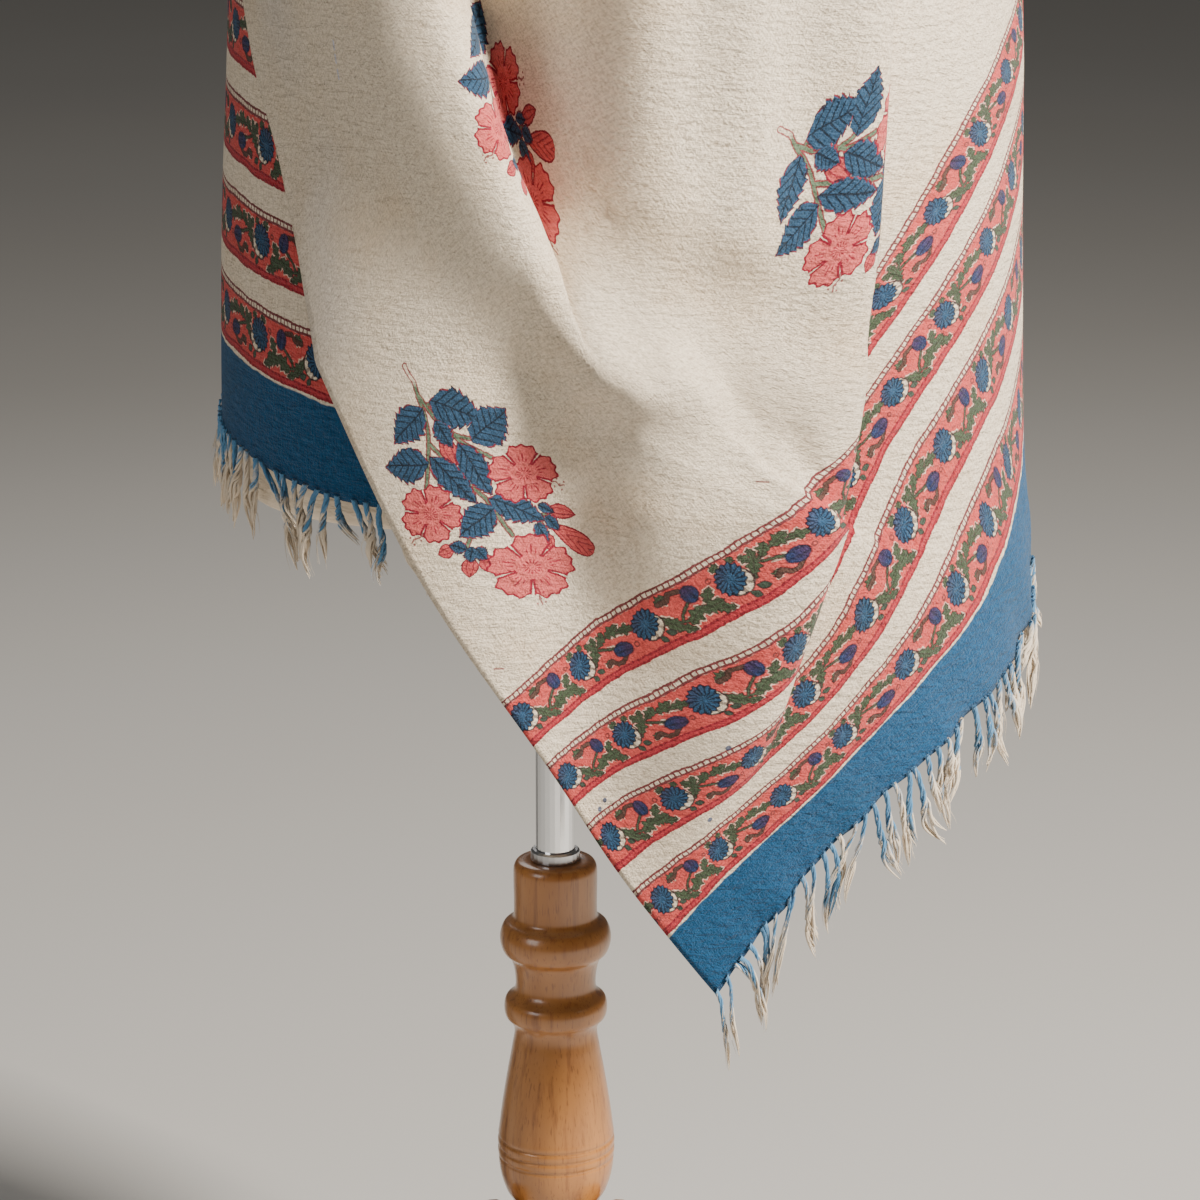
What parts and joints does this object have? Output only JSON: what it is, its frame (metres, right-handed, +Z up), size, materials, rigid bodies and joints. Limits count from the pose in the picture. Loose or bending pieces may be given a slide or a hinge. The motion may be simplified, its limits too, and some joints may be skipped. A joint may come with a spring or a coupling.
{
  "type": "wool shawl on a dress form",
  "caption": "Block-printed wool shawl with fringed ends, draped across a limbless dress form on a turned wooden tripod stand.",
  "frame": {"origin": "centre of the whole object's footprint box, on the floor", "axes": "+Z up along the pole, -Y the wearer's front"},
  "size_m": [0.5266, 0.4406, 1.455],
  "materials": {
    "printed_wool": "napped cream wool with a red and blue block print",
    "fringe_wool": "twisted wool locks, blue at the root and cream at the tip",
    "form_cover": "cream knitted cover, matt",
    "turned_wood": "clear lacquered beech",
    "tube_chrome": "polished",
    "collar_steel": "dark satin steel"
  },
  "bodies": {
    "form": {"shawl_front": "printed_wool", "shawl_back": "printed_wool", "shawl_under_end": "printed_wool", "fringe_front": "fringe_wool", "fringe_under": "fringe_wool", "form_torso": "form_cover", "neck_cap": "turned_wood", "pole_tube": "tube_chrome"},
    "stand": {"stand_column": "turned_wood", "pole_collar": "collar_steel", "leg_left": "turned_wood", "leg_right": "turned_wood", "leg_rear": "turned_wood"}
  },
  "joints": [
    {"name": "height_slide", "type": "slide", "parent": "stand", "child": "form", "axis": [0, 0, 1], "range_m": [-0.08, 0.12]}
  ]
}
